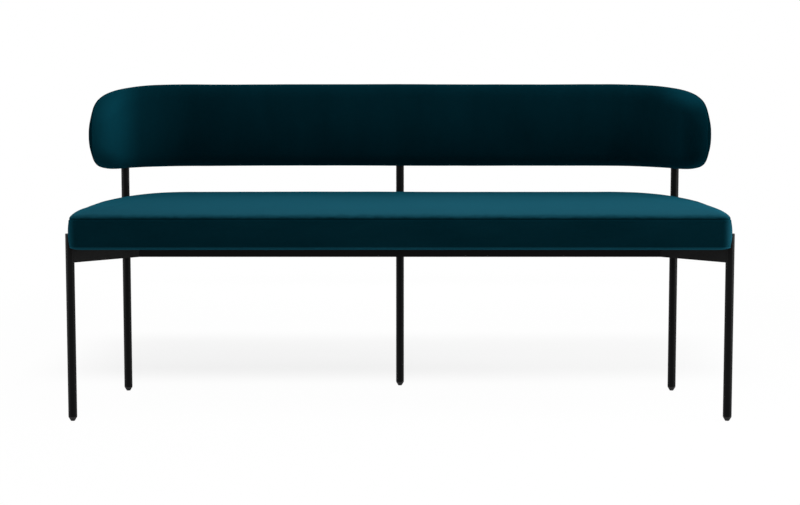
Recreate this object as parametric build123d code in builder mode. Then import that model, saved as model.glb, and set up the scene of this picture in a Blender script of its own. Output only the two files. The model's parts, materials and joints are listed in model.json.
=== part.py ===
"""Upholstered bench with a curved padded backrest, in millimetres.

X runs along the bench, the front faces -Y and Z points up. The origin is on the floor, under
the middle of the bench's box. Depths in the names below are measured back from the plane that
holds the two front leg axes.
"""
import os
from math import asin, atan2, cos, degrees, radians, sin, sqrt

from build123d import *

os.makedirs("parts", exist_ok=True)

# Stance of the five legs
front_leg_spacing = 1504.0
rear_leg_spacing = 1370.0
rear_center_leg_depth = 477.5
side_leg_advance = 76.5

# Leg tube
tube_radius = 10.0
tube_wall = 1.5
front_leg_top = 431.5
leg_reach_in_pad = 150.0

# Front leg cap
cap_thickness = 1.5
cap_plug_depth = 12.0
cap_clearance = 0.1

# Foot glide
glide_height = 10.0
glide_tip_radius = 4.6
glide_shoulder_radius = 9.8
glide_shoulder_height = 1.2
glide_stem_length = 18.0
glide_clearance = 0.1

# Flat bar frame under the cushion
frame_top = 397.0
bar_height = 31.5
bar_thickness = 6.0
bar_reach = 9.2
front_rail_depth = 127.0
wing_angle = 45.0
bend_radius = 3.0
brace_spacing = 380.0

# Seat tabs and their screws
tab_length = 30.0
tab_width = 28.0
tab_thickness = 3.0
tab_inner_spacing = 280.0
tab_end_gap = 72.0
side_tab_depth = 120.0
screw_radius = 3.0
screw_head_radius = 5.0
screw_head_height = 3.5
screw_clearance = 0.3
insert_radius = 4.5
insert_clearance = 0.1
insert_cover = 1.0
insert_sink = 0.6

# Cloth and foam
cloth_thickness = 1.6
cloth_clearance = 0.3
leg_notch_clearance = 0.5

# Seat cushion, widest outline
cushion_side_inset = 0.5
cushion_front_depth = -44.0
cushion_front_radius = 23.0
cushion_rear_radius = 240.0
cushion_side_draw_in = 7.0
cushion_front_draw_in = 3.0
cushion_corner_growth_share = 0.5

# Seat cushion, heights and section
seam_height = 69.0
seam_draw_in = 3.5
bottom_draw_in = 2.0
bottom_rounding = 7.0
shoulder_rise = 14.5
shoulder_reach = 30.0
crown_rise = 29.5
crown_reach = 240.0
crown_flat_inset = 215.0
flange_width = 40.0
board_thickness = 15.0
board_edge_foam = 10.0

# Backrest pad
pad_arc_radius = 225.0
pad_end_reach = 131.0
pad_bottom = 563.0
pad_height = 204.6
pad_tip_height = 74.0
pad_end_dip = 8.0
pad_top_corner_run = 345.0
pad_bottom_corner_run = 148.0
pad_corner_power = 3.2
pad_front = 46.0
pad_back = 16.0
pad_seam = 2.0
pad_nose_run = 61.0
pad_nose_power = 2.3
pad_heel_run = 10.0
pad_dip_power = 6
pad_front_round_share = 0.72
pad_back_round_share = 0.85
pad_crown_share = 0.13

# Backrest board and brackets
back_board_thickness = 12.0
back_board_margin = 22.0
bracket_thickness = 3.0
bracket_width = 40.0
bracket_height = 110.0
bracket_bottom_gap = 30.0
bracket_screw_offset = 14.0
bracket_screw_spacing = 80.0

# Overrun of cutting solids, and how far regions reach past the pad
overrun = 4.0
region_reach = 40.0

# Stations along each rounded end of the backrest, from the straight middle to the tip
pad_station_shares = (
    0.0, 0.09, 0.17, 0.25, 0.33, 0.41, 0.49, 0.57, 0.65,
    0.72, 0.79, 0.85, 0.9, 0.935, 0.963, 0.984, 0.995, 0.9986,
)

# Heights of the boxing's sections, and insets of the crown's, bottom or seam first
boxing_shares = (0.0, 0.12, 0.28, 0.5, 0.72, 0.88, 1.0)
rounding_angle_shares = (0.0, 0.25, 0.5, 0.75)
shoulder_angle_shares = (0.0, 0.17, 0.34, 0.5, 0.67, 0.84, 1.0)
crown_inset_shares = (0.2, 0.3, 0.42, 0.56, 0.76, 1.0)

# Places worked out from the sizes above
front_leg_x = front_leg_spacing / 2
rear_leg_x = rear_leg_spacing / 2
rear_side_leg_depth = rear_center_leg_depth - side_leg_advance
cushion_half_width = front_leg_x - cushion_side_inset
cushion_rear_depth = rear_center_leg_depth - tube_radius - leg_notch_clearance
tube_bore = tube_radius - tube_wall
pad_top = pad_bottom + pad_height
rear_leg_top = pad_bottom + leg_reach_in_pad
bar_bottom = frame_top - bar_height
seam_z = frame_top + seam_height
board_bottom = frame_top + cloth_thickness + cloth_clearance
board_top = board_bottom + board_thickness
depth_middle = (cushion_front_depth + rear_center_leg_depth + pad_back) / 2
quarter_turn = radians(90)
diagonal_share = cos(quarter_turn / 2)


def row_y(depth):
    """Y of a place given by its depth behind the front leg axes."""
    return depth - depth_middle


legs = {
    "front_leg_left": (-front_leg_x, row_y(0)),
    "front_leg_right": (front_leg_x, row_y(0)),
    "rear_leg_left": (-rear_leg_x, row_y(rear_side_leg_depth)),
    "rear_leg_center": (0, row_y(rear_center_leg_depth)),
    "rear_leg_right": (rear_leg_x, row_y(rear_side_leg_depth)),
}


def leg_columns(radius, top):
    """Columns round the five leg axes up to a height, for coping and notching."""
    with BuildPart() as columns:
        with BuildSketch(Plane.XY):
            with Locations(*legs.values()):
                Circle(radius)
        extrude(amount=top)
    return columns.part


# Legs: five round tubes, and the two caps that close the front ones
for name, (x, y) in legs.items():
    is_front = name.startswith("front")
    top = front_leg_top - cap_thickness if is_front else rear_leg_top
    with BuildPart() as leg:
        with BuildSketch(Plane((x, y, glide_height))):
            Circle(tube_radius)
            Circle(tube_bore, mode=Mode.SUBTRACT)
        extrude(amount=top - glide_height)
    leg.part.label = name
    export_step(leg.part, f"parts/{name}.step")
    if is_front:
        with BuildPart() as cap:
            with BuildSketch(Plane((x, y, top))):
                Circle(tube_radius)
            extrude(amount=cap_thickness)
            with BuildSketch(Plane((x, y, top))):
                Circle(tube_bore - cap_clearance)
            extrude(amount=-cap_plug_depth)
            fillet(cap.faces().sort_by(Axis.Z)[-1].edges(), cap_thickness / 3)
        cap.part.label = f"{name}_cap"
        export_step(cap.part, f"parts/{name}_cap.step")

# Foot glides: a tapered foot under each tube, with a stem pushed up its bore
for name, (x, y) in legs.items():
    with BuildPart() as glide:
        with BuildSketch(Plane.XZ.offset(-y)):
            with BuildLine():
                Polyline(
                    (x, 0),
                    (x + glide_tip_radius, 0),
                    (x + glide_shoulder_radius, glide_height - glide_shoulder_height),
                    (x + glide_shoulder_radius, glide_height),
                    (x + tube_bore - glide_clearance, glide_height),
                    (x + tube_bore - glide_clearance, glide_height + glide_stem_length),
                    (x, glide_height + glide_stem_length),
                    close=True,
                )
            make_face()
        revolve(axis=Axis((x, y, 0), (0, 0, 1)))
    node = name.replace("leg", "glide")
    glide.part.label = node
    export_step(glide.part, f"parts/{node}.step")

# Front rail: one flat bar on edge, its wings bent towards the front legs
wing_sin = sin(radians(wing_angle))
wing_cos = cos(radians(wing_angle))


def wing_x(depth, reach):
    """X of the right wing's face that passes reach in front of the leg axis."""
    return front_leg_x - reach * wing_sin - (depth + reach * wing_cos) * wing_cos / wing_sin


rail_back_depth = front_rail_depth + bar_thickness
wing_back_reach = bar_reach - bar_thickness
wing_start = (front_leg_x - bar_reach * wing_sin, -bar_reach * wing_cos)
wing_back_start = (front_leg_x - wing_back_reach * wing_sin, -wing_back_reach * wing_cos)
rail_corner_x = wing_x(front_rail_depth, bar_reach)
rail_back_corner_x = wing_x(rail_back_depth, wing_back_reach)
rail_points = (
    (wing_start[0], row_y(wing_start[1])),
    (rail_corner_x, row_y(front_rail_depth)),
    (-rail_corner_x, row_y(front_rail_depth)),
    (-wing_start[0], row_y(wing_start[1])),
    (-wing_back_start[0], row_y(wing_back_start[1])),
    (-rail_back_corner_x, row_y(rail_back_depth)),
    (rail_back_corner_x, row_y(rail_back_depth)),
    (wing_back_start[0], row_y(wing_back_start[1])),
)
with BuildPart() as front_rail:
    with BuildSketch(Plane.XY.offset(bar_bottom)) as rail_plan:
        with BuildLine():
            Polyline(*rail_points, close=True)
        make_face()
        corner_rows = rail_plan.vertices().group_by(Axis.Y)
        fillet(corner_rows[-2], bend_radius)
        fillet(corner_rows[-1], bend_radius + bar_thickness)
    extrude(amount=bar_height)
    add(leg_columns(tube_radius, frame_top), mode=Mode.SUBTRACT)
front_rail.part.label = "front_rail"
export_step(front_rail.part, "parts/front_rail.step")

# Side and rear bands: flat bar on edge, tangent to the inner side of all five legs
band_half_width = front_leg_x - bar_reach
band_rear_depth = rear_center_leg_depth - bar_reach
side_offset = band_half_width - rear_leg_x
rear_offset = band_rear_depth - rear_side_leg_depth
arc_half_sum = side_offset + rear_offset + bar_reach
arc_square_sum = side_offset**2 + rear_offset**2 - bar_reach**2
band_radius = arc_half_sum + sqrt(arc_half_sum**2 - arc_square_sum)
band_center_x = band_half_width - band_radius
band_center_y = row_y(band_rear_depth - band_radius)
break_angle = degrees(
    atan2(row_y(rear_side_leg_depth) - band_center_y, rear_leg_x - band_center_x)
)


def band_point(radius, angle):
    """Point of the right rear corner arc, angle in degrees from +X."""
    return (
        band_center_x + radius * cos(radians(angle)),
        band_center_y + radius * sin(radians(angle)),
    )


band_inner_radius = band_radius - bar_thickness
band_inner_half_width = band_half_width - bar_thickness
band_inner_rear_depth = band_rear_depth - bar_thickness

with BuildPart() as side_band_right:
    with BuildSketch(Plane.XY.offset(bar_bottom)):
        with BuildLine():
            Line((band_half_width, row_y(0)), band_point(band_radius, 0))
            ThreePointArc(
                band_point(band_radius, 0),
                band_point(band_radius, break_angle / 2),
                band_point(band_radius, break_angle),
            )
            Line(band_point(band_radius, break_angle), band_point(band_inner_radius, break_angle))
            ThreePointArc(
                band_point(band_inner_radius, break_angle),
                band_point(band_inner_radius, break_angle / 2),
                band_point(band_inner_radius, 0),
            )
            Line(band_point(band_inner_radius, 0), (band_inner_half_width, row_y(0)))
            Line((band_inner_half_width, row_y(0)), (band_half_width, row_y(0)))
        make_face()
    extrude(amount=bar_height)
    add(front_rail.part, mode=Mode.SUBTRACT)
    add(leg_columns(tube_radius, frame_top), mode=Mode.SUBTRACT)
    band_pieces = side_band_right.solids().sort_by(SortBy.VOLUME)
    for chip in band_pieces[:-1]:
        add(chip, mode=Mode.SUBTRACT)
side_band_right.part.label = "side_band_right"
export_step(side_band_right.part, "parts/side_band_right.step")

with BuildPart() as side_band_left:
    add(side_band_right.part)
    mirror(about=Plane.YZ, mode=Mode.REPLACE)
side_band_left.part.label = "side_band_left"
export_step(side_band_left.part, "parts/side_band_left.step")

rear_middle_angle = (break_angle + 90) / 2
with BuildPart() as rear_band:
    with BuildSketch(Plane.XY.offset(bar_bottom)):
        with BuildLine() as half_line:
            Line((0, row_y(band_rear_depth)), band_point(band_radius, 90))
            ThreePointArc(
                band_point(band_radius, 90),
                band_point(band_radius, rear_middle_angle),
                band_point(band_radius, break_angle),
            )
            Line(band_point(band_radius, break_angle), band_point(band_inner_radius, break_angle))
            ThreePointArc(
                band_point(band_inner_radius, break_angle),
                band_point(band_inner_radius, rear_middle_angle),
                band_point(band_inner_radius, 90),
            )
            Line(band_point(band_inner_radius, 90), (0, row_y(band_inner_rear_depth)))
            mirror(about=Plane.YZ)
        make_face()
    extrude(amount=bar_height)
    add(leg_columns(tube_radius, frame_top), mode=Mode.SUBTRACT)
rear_band.part.label = "rear_band"
export_step(rear_band.part, "parts/rear_band.step")

# Cross braces: flat bars on edge from the front rail to the rear band
brace_length = band_inner_rear_depth - rail_back_depth
brace_center_y = row_y(rail_back_depth + brace_length / 2)
brace_places = {"left": -brace_spacing, "center": 0, "right": brace_spacing}
for side, x in brace_places.items():
    with BuildPart() as brace:
        with BuildSketch(Plane((x, brace_center_y, bar_bottom))):
            Rectangle(bar_thickness, brace_length)
        extrude(amount=bar_height)
    brace.part.label = f"cross_brace_{side}"
    export_step(brace.part, f"parts/cross_brace_{side}.step")

# Seat tabs: plates welded to the inner faces of the frame, each under one seat screw
tab_inner_x = tab_inner_spacing / 2
tab_outer_x = band_center_x - tab_end_gap - tab_length / 2
tab_xs = [-tab_outer_x, -tab_inner_x, tab_inner_x, tab_outer_x]
front_tab_y = row_y(rail_back_depth) + tab_width / 2
rear_tab_y = row_y(band_inner_rear_depth) - tab_width / 2
side_tab_x = band_inner_half_width - tab_width / 2
screw_places = [(x, y) for y in (front_tab_y, rear_tab_y) for x in tab_xs]
side_screw_places = [(sign * side_tab_x, row_y(side_tab_depth)) for sign in (-1, 1)]
tab_bottom = frame_top - tab_thickness
with BuildPart() as seat_tabs:
    with BuildSketch(Plane.XY.offset(tab_bottom)):
        with Locations(*screw_places):
            Rectangle(tab_length, tab_width)
        with Locations(*side_screw_places):
            Rectangle(tab_width, tab_length)
        with Locations(*screw_places, *side_screw_places):
            Circle(screw_radius + screw_clearance, mode=Mode.SUBTRACT)
    extrude(amount=tab_thickness)
seat_tabs.part.label = "seat_tabs"
export_step(seat_tabs.part, "parts/seat_tabs.step")

# Threaded inserts in the seat board, open below and closed above
insert_length = board_thickness - insert_cover
screw_tip = board_bottom + insert_length - insert_cover
with BuildPart() as seat_inserts:
    with BuildSketch(Plane.XY.offset(board_bottom)):
        with Locations(*screw_places, *side_screw_places):
            Circle(insert_radius)
    extrude(amount=insert_length)
    with BuildSketch(Plane.XY.offset(board_bottom)):
        with Locations(*screw_places, *side_screw_places):
            Circle(screw_radius + insert_clearance)
    extrude(amount=screw_tip - board_bottom + insert_clearance, mode=Mode.SUBTRACT)
seat_inserts.part.label = "seat_inserts"
export_step(seat_inserts.part, "parts/seat_inserts.step")

# Seat screws: button heads under the tabs
with BuildPart() as seat_screws:
    with BuildSketch(Plane.XY.offset(tab_bottom)):
        with Locations(*screw_places, *side_screw_places):
            Circle(screw_head_radius)
    extrude(amount=-screw_head_height)
    head_rims = seat_screws.faces().group_by(Axis.Z)[0].edges()
    fillet(head_rims, screw_head_height / 2)
    with BuildSketch(Plane.XY.offset(tab_bottom)):
        with Locations(*screw_places, *side_screw_places):
            Circle(screw_radius)
    extrude(amount=screw_tip - tab_bottom)
seat_screws.part.label = "seat_screws"
export_step(seat_screws.part, "parts/seat_screws.step")


def cushion_plan(inset, z):
    """Face of the cushion's outline at height z, inset from its widest outline."""
    half_width = cushion_half_width - inset
    drawn_width = half_width - cushion_side_draw_in
    front_y = row_y(cushion_front_depth) + inset
    rear_y = row_y(cushion_rear_depth) - inset
    depth = rear_y - front_y
    front_growth = inset * cushion_corner_growth_share
    front_radius = min(cushion_front_radius + front_growth, depth / 2)
    rear_radius = min(cushion_rear_radius - inset, depth - front_radius)
    front_x = half_width - front_radius
    rear_x = drawn_width - rear_radius
    front_side_y = front_y + front_radius
    rear_side_y = rear_y - rear_radius
    front_mid_x = front_x + front_radius * diagonal_share
    front_mid_y = front_side_y - front_radius * diagonal_share
    rear_mid_x = rear_x + rear_radius * diagonal_share
    rear_mid_y = rear_side_y + rear_radius * diagonal_share
    front_dip = (0, front_y + cushion_front_draw_in)
    with BuildSketch(Plane.XY.offset(z)) as plan:
        with BuildLine():
            ThreePointArc((-front_x, front_y), front_dip, (front_x, front_y))
            ThreePointArc(
                (front_x, front_y), (front_mid_x, front_mid_y), (half_width, front_side_y)
            )
            Line((half_width, front_side_y), (drawn_width, rear_side_y))
            ThreePointArc((drawn_width, rear_side_y), (rear_mid_x, rear_mid_y), (rear_x, rear_y))
            Line((rear_x, rear_y), (-rear_x, rear_y))
            ThreePointArc(
                (-rear_x, rear_y), (-rear_mid_x, rear_mid_y), (-drawn_width, rear_side_y)
            )
            Line((-drawn_width, rear_side_y), (-half_width, front_side_y))
            ThreePointArc(
                (-half_width, front_side_y), (-front_mid_x, front_mid_y), (-front_x, front_y)
            )
        make_face()
    return plan.sketch


def boxing_form(skin):
    """The cushion below its seam, skin inside the outer face."""
    rounding = bottom_rounding - skin
    low = frame_top + bottom_rounding
    levels = []
    for share in rounding_angle_shares:
        angle = quarter_turn * share
        rise = skin + rounding * (1 - cos(angle))
        levels.append((bottom_draw_in + skin + rounding * (1 - sin(angle)), frame_top + rise))
    for share in boxing_shares:
        lean = bottom_draw_in if 2 * share < 1 else seam_draw_in
        levels.append((skin + lean * (2 * share - 1) ** 2, low + (seam_z - low) * share))
    with BuildPart() as form:
        for inset, z in levels:
            add(cushion_plan(inset, z))
        loft(ruled=True)
    return form.part


def crown_form(skin):
    """The cushion above its seam, skin inside the outer face."""
    levels = []
    for share in shoulder_angle_shares:
        angle = quarter_turn * share
        levels.append((shoulder_reach * (1 - cos(angle)), shoulder_rise * sin(angle)))
    for share in crown_inset_shares:
        levels.append((crown_flat_inset * share, shoulder_rise))
    with BuildPart() as form:
        for edge, rise in levels:
            crown = crown_rise * (1 - (1 - edge / crown_reach) ** 2)
            add(cushion_plan(seam_draw_in + skin + edge, seam_z - skin + rise + crown))
        loft(ruled=True)
    return form.part


def notch_columns(growth):
    """Columns grown round the legs: past the front legs' tops, and right up round the rear legs."""
    with BuildPart() as columns:
        add(leg_columns(tube_radius + growth, front_leg_top + growth))
        with BuildSketch(Plane.XY):
            with Locations(*[legs[name] for name in legs if name.startswith("rear")]):
                Circle(tube_radius + growth)
        extrude(amount=pad_bottom)
    return columns.part


# Room for the cloth over the foam, and round the legs where they stand in the cushion
cloth_gap = cloth_thickness + cloth_clearance
seat_columns = notch_columns(leg_notch_clearance)
foam_columns = notch_columns(leg_notch_clearance + cloth_gap)


def cushion_prism(inset, low, high):
    """Prism of the cushion's outline between two heights."""
    with BuildPart() as prism:
        add(cushion_plan(inset, low))
        extrude(amount=high - low)
    return prism.part


flange_inset = bottom_rounding + flange_width

# Seat board: plywood, bored for the inserts
with BuildPart() as seat_board:
    add(cushion_prism(board_edge_foam, board_bottom, board_top))
    with BuildSketch(Plane.XY.offset(board_bottom)):
        with Locations(*screw_places, *side_screw_places):
            Circle(insert_radius)
    extrude(amount=insert_length, mode=Mode.SUBTRACT)
    add(foam_columns, mode=Mode.SUBTRACT)
seat_board.part.label = "seat_board"
export_step(seat_board.part, "parts/seat_board.step")

# Seat foam: the crowned block over the board and round its edge
with BuildPart() as seat_foam:
    add(boxing_form(cloth_gap))
    add(crown_form(cloth_gap))
    add(
        cushion_prism(board_edge_foam - cloth_clearance, frame_top, board_top + cloth_clearance),
        mode=Mode.SUBTRACT,
    )
    add(foam_columns, mode=Mode.SUBTRACT)
seat_foam.part.label = "seat_foam"
export_step(seat_foam.part, "parts/seat_foam.step")

# Seat top panel: the crowned cloth above the seam
with BuildPart() as seat_top_panel:
    add(crown_form(0))
    add(crown_form(cloth_thickness), mode=Mode.SUBTRACT)
    add(
        cushion_prism(seam_draw_in + cloth_thickness, seam_z - cloth_gap, seam_z),
        mode=Mode.SUBTRACT,
    )
    add(seat_columns, mode=Mode.SUBTRACT)
seat_top_panel.part.label = "seat_top_panel"
export_step(seat_top_panel.part, "parts/seat_top_panel.step")

# Seat boxing: the band round the sides, turned under the board as a flange
with BuildPart() as seat_boxing:
    add(boxing_form(0))
    add(boxing_form(cloth_thickness), mode=Mode.SUBTRACT)
    add(
        cushion_prism(flange_inset, frame_top - overrun, frame_top + bottom_rounding),
        mode=Mode.SUBTRACT,
    )
    add(seat_columns, mode=Mode.SUBTRACT)
    with BuildSketch(Plane.XY.offset(frame_top)):
        with Locations(*screw_places, *side_screw_places):
            Circle(screw_radius + screw_clearance)
    extrude(amount=cloth_thickness, mode=Mode.SUBTRACT)
seat_boxing.part.label = "seat_boxing"
export_step(seat_boxing.part, "parts/seat_boxing.step")

# Dust cover: cloth under the board, inside the flange
with BuildPart() as seat_dust_cover:
    add(cushion_prism(flange_inset + cloth_clearance, frame_top, frame_top + cloth_thickness))
    with BuildSketch(Plane.XY.offset(frame_top)):
        with Locations(*screw_places, *side_screw_places):
            Circle(screw_radius + screw_clearance)
    extrude(amount=cloth_thickness, mode=Mode.SUBTRACT)
seat_dust_cover.part.label = "seat_dust_cover"
export_step(seat_dust_cover.part, "parts/seat_dust_cover.step")

# Backrest line: straight along the back, then an arc through each rear side leg
side_leg_chord = sqrt(pad_arc_radius**2 - (pad_arc_radius - side_leg_advance) ** 2)
pad_straight = rear_leg_x - side_leg_chord
pad_arc_center_y = row_y(rear_center_leg_depth) - pad_arc_radius
side_leg_run = pad_straight + pad_arc_radius * asin(side_leg_chord / pad_arc_radius)
pad_half_run = side_leg_run + pad_end_reach
corner_start = min(pad_straight, pad_half_run - pad_top_corner_run)


def pad_turn(run):
    """Angle in radians that the backrest line has turned at a run from the middle."""
    return max(run - pad_straight, 0) / pad_arc_radius


def pad_point(run, offset):
    """Point beside the right half of the backrest line, offset outward from it."""
    turn = pad_turn(run)
    reach = pad_arc_radius + offset
    return (
        min(run, pad_straight) + reach * sin(turn),
        pad_arc_center_y + reach * cos(turn),
    )


def pad_plane(run):
    """Plane across the backrest line: local X points outward and local Y is up."""
    turn = pad_turn(run)
    x, y = pad_point(run, 0)
    return Plane(
        origin=(x, y, 0),
        x_dir=(sin(turn), cos(turn), 0),
        z_dir=(cos(turn), -sin(turn), 0),
    )


def corner_share(run, start, length, power):
    """Height share left of an end corner that starts at a run and closes over a length."""
    along = min(max((run - start) / length, 0), 1)
    return (1 - along**power) ** (1 / power)


def pad_section(run, skin):
    """Rounded section of the pad at a run, skin inside its outer face."""
    half_run = pad_half_run - skin
    tip_z = pad_bottom + pad_tip_height
    top_run = pad_top_corner_run - skin
    bottom_run = pad_bottom_corner_run - skin
    top_share = corner_share(run, half_run - top_run, top_run, pad_corner_power)
    bottom_share = corner_share(run, half_run - bottom_run, bottom_run, pad_corner_power)
    dip = pad_end_dip * (run / pad_half_run) ** pad_dip_power
    high = tip_z + (pad_top - skin - tip_z) * top_share
    low = tip_z - (tip_z - pad_bottom - skin + dip) * bottom_share
    nose = corner_share(run, half_run - pad_nose_run, pad_nose_run, pad_nose_power)
    heel = corner_share(run, half_run - pad_heel_run, pad_heel_run, 2)
    front = (pad_front - skin) * nose
    back = (pad_back - pad_seam - skin) * heel
    crown = front * pad_crown_share
    front_n = pad_seam - front
    back_n = pad_seam + back
    with BuildSketch(pad_plane(run)) as section:
        with BuildLine():
            Line((back_n, low), (back_n, high))
            Line((back_n, high), (front_n + crown, high))
            ThreePointArc(
                (front_n + crown, high), (front_n, (high + low) / 2), (front_n + crown, low)
            )
            Line((front_n + crown, low), (back_n, low))
        make_face()
        corner_columns = section.vertices().group_by(Axis.X)
        fillet(corner_columns[0], front * pad_front_round_share)
        fillet(corner_columns[-1], back * pad_back_round_share)
    return section.sketch


def pad_form(skin):
    """The whole pad, skin inside its outer face."""
    corner_run = pad_half_run - skin - corner_start
    with BuildPart() as form:
        add(pad_section(0, skin))
        for share in pad_station_shares:
            add(pad_section(corner_start + corner_run * share, skin))
        loft(ruled=True)
        mirror(about=Plane.YZ)
    return form.part


def pad_region(low_offset, high_offset, run, bottom, top):
    """Curved slab along the backrest line between two offsets, out to a run at each end."""
    half_turn = (pad_straight + run) / 2
    with BuildPart() as slab:
        with BuildSketch(Plane.XY.offset(bottom)):
            with BuildLine():
                Line((0, pad_point(0, high_offset)[1]), pad_point(pad_straight, high_offset))
                ThreePointArc(
                    pad_point(pad_straight, high_offset),
                    pad_point(half_turn, high_offset),
                    pad_point(run, high_offset),
                )
                Line(pad_point(run, high_offset), pad_point(run, low_offset))
                ThreePointArc(
                    pad_point(run, low_offset),
                    pad_point(half_turn, low_offset),
                    pad_point(pad_straight, low_offset),
                )
                Line(pad_point(pad_straight, low_offset), (0, pad_point(0, low_offset)[1]))
                mirror(about=Plane.YZ)
            make_face()
        extrude(amount=top - bottom)
    return slab.part


region_bottom = pad_bottom - region_reach
region_top = pad_top + region_reach
region_run = pad_half_run + region_reach


def ahead_of(offset):
    """Everything in front of an offset of the backrest line."""
    return pad_region(offset - 2 * region_reach, offset, region_run, region_bottom, region_top)


def behind(offset):
    """Everything behind an offset of the backrest line."""
    return pad_region(offset, offset + 2 * region_reach, region_run, region_bottom, region_top)


# Backrest board: curved plywood in front of the legs, rounded like the pad
bracket_front = -(tube_radius + bracket_thickness)
board_front = bracket_front - back_board_thickness
board_run = pad_half_run - back_board_margin


def board_section(run, growth):
    """Upright rectangle round the backrest board at a run, its height grown at both ends."""
    tip_z = pad_bottom + pad_tip_height
    top_run = pad_top_corner_run - back_board_margin
    bottom_run = pad_bottom_corner_run - back_board_margin
    top_share = corner_share(run, board_run - top_run, top_run, pad_corner_power)
    bottom_share = corner_share(run, board_run - bottom_run, bottom_run, pad_corner_power)
    high = tip_z + (pad_top - back_board_margin - tip_z) * top_share + growth
    low = tip_z - (tip_z - pad_bottom - back_board_margin) * bottom_share - growth
    with BuildSketch(pad_plane(run)) as section:
        with BuildLine():
            Polyline(
                (board_front - overrun, low),
                (bracket_front + overrun, low),
                (bracket_front + overrun, high),
                (board_front - overrun, high),
                close=True,
            )
        make_face()
    return section.sketch


def board_form(growth):
    """The backrest board, grown on every side."""
    corner_run = board_run - corner_start
    with BuildPart() as form:
        add(board_section(0, growth))
        for share in pad_station_shares:
            add(board_section(corner_start + corner_run * share, growth))
        loft(ruled=True)
        mirror(about=Plane.YZ)
        add(
            pad_region(
                board_front - growth, bracket_front + growth, region_run, region_bottom, region_top
            ),
            mode=Mode.INTERSECT,
        )
    return form.part


# Places of the brackets: planes across the line at the three rear legs, and mirrored ones
bracket_bottom = pad_bottom + bracket_bottom_gap
bracket_middle = bracket_bottom + bracket_height / 2
bracket_runs = {"center": 0, "right": side_leg_run}
screw_spots = [
    (across, bracket_middle + up)
    for across in (-bracket_screw_offset, bracket_screw_offset)
    for up in (-bracket_screw_spacing / 2, bracket_screw_spacing / 2)
]
insert_back = bracket_front - insert_sink
back_insert_length = back_board_thickness - insert_sink - insert_cover
back_screw_reach = back_insert_length - insert_cover


def bracket_plane(run, offset):
    """Upright plane along the line at a run and offset, facing forward; local Y is up."""
    turn = pad_turn(run)
    x, y = pad_point(run, offset)
    return Plane(
        origin=(x, y, 0),
        x_dir=(cos(turn), -sin(turn), 0),
        z_dir=(-sin(turn), -cos(turn), 0),
    )


def at_brackets(radius, offset, length):
    """Round bars at every bracket screw, from an offset of the line and forward."""
    with BuildPart() as bars:
        with BuildSketch(bracket_plane(side_leg_run, offset)):
            with Locations(*screw_spots):
                Circle(radius)
        extrude(amount=length)
        mirror(about=Plane.YZ)
        with BuildSketch(bracket_plane(0, offset)):
            with Locations(*screw_spots):
                Circle(radius)
        extrude(amount=length)
    return bars.part


def bracket_blank(run, growth=0, reach=0):
    """Plate on the front of the rear leg at a run, grown all round and reaching forward."""
    with BuildPart() as plate:
        with BuildSketch(bracket_plane(run, -tube_radius + growth)):
            with Locations((0, bracket_middle)):
                Rectangle(bracket_width + 2 * growth, bracket_height + 2 * growth)
        extrude(amount=bracket_thickness + growth + reach)
    return plate.part


# Backrest brackets: one plate welded on the front of each rear leg
for side, run in bracket_runs.items():
    with BuildPart() as bracket:
        add(bracket_blank(run))
        add(
            at_brackets(screw_radius + screw_clearance, overrun - tube_radius, region_reach),
            mode=Mode.SUBTRACT,
        )
    bracket.part.label = f"backrest_bracket_{side}"
    export_step(bracket.part, f"parts/backrest_bracket_{side}.step")
with BuildPart() as left_bracket:
    add(bracket.part)
    mirror(about=Plane.YZ, mode=Mode.REPLACE)
left_bracket.part.label = "backrest_bracket_left"
export_step(left_bracket.part, "parts/backrest_bracket_left.step")

# Backrest board, bored from behind for the inserts
with BuildPart() as backrest_board:
    add(board_form(0))
    add(
        at_brackets(insert_radius, insert_back + overrun, overrun + back_insert_length),
        mode=Mode.SUBTRACT,
    )
backrest_board.part.label = "backrest_board"
export_step(backrest_board.part, "parts/backrest_board.step")

# Threaded inserts in the backrest board
with BuildPart() as backrest_inserts:
    add(at_brackets(insert_radius, insert_back, back_insert_length))
    add(
        at_brackets(screw_radius + insert_clearance, insert_back, back_screw_reach),
        mode=Mode.SUBTRACT,
    )
backrest_inserts.part.label = "backrest_inserts"
export_step(backrest_inserts.part, "parts/backrest_inserts.step")

# Backrest screws: heads behind the brackets, beside the leg tubes
back_screw_shank = bracket_thickness + insert_sink + back_screw_reach - insert_clearance
with BuildPart() as backrest_screws:
    add(at_brackets(screw_head_radius, screw_head_height - tube_radius, screw_head_height))
    add(at_brackets(screw_radius, -tube_radius, back_screw_shank))
backrest_screws.part.label = "backrest_screws"
export_step(backrest_screws.part, "parts/backrest_screws.step")

# Backrest foam: a front pad round the board, and a thinner back pad round the legs
inner_pad = pad_form(cloth_gap)
tube_channels = leg_columns(tube_radius + cloth_clearance, rear_leg_top + cloth_clearance)
with BuildPart() as backrest_front_foam:
    add(inner_pad)
    add(behind(bracket_front), mode=Mode.SUBTRACT)
    add(board_form(cloth_clearance), mode=Mode.SUBTRACT)
backrest_front_foam.part.label = "backrest_front_foam"
export_step(backrest_front_foam.part, "parts/backrest_front_foam.step")

with BuildPart() as side_bracket_spaces:
    add(bracket_blank(side_leg_run, cloth_clearance, overrun))
    mirror(about=Plane.YZ)

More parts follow.
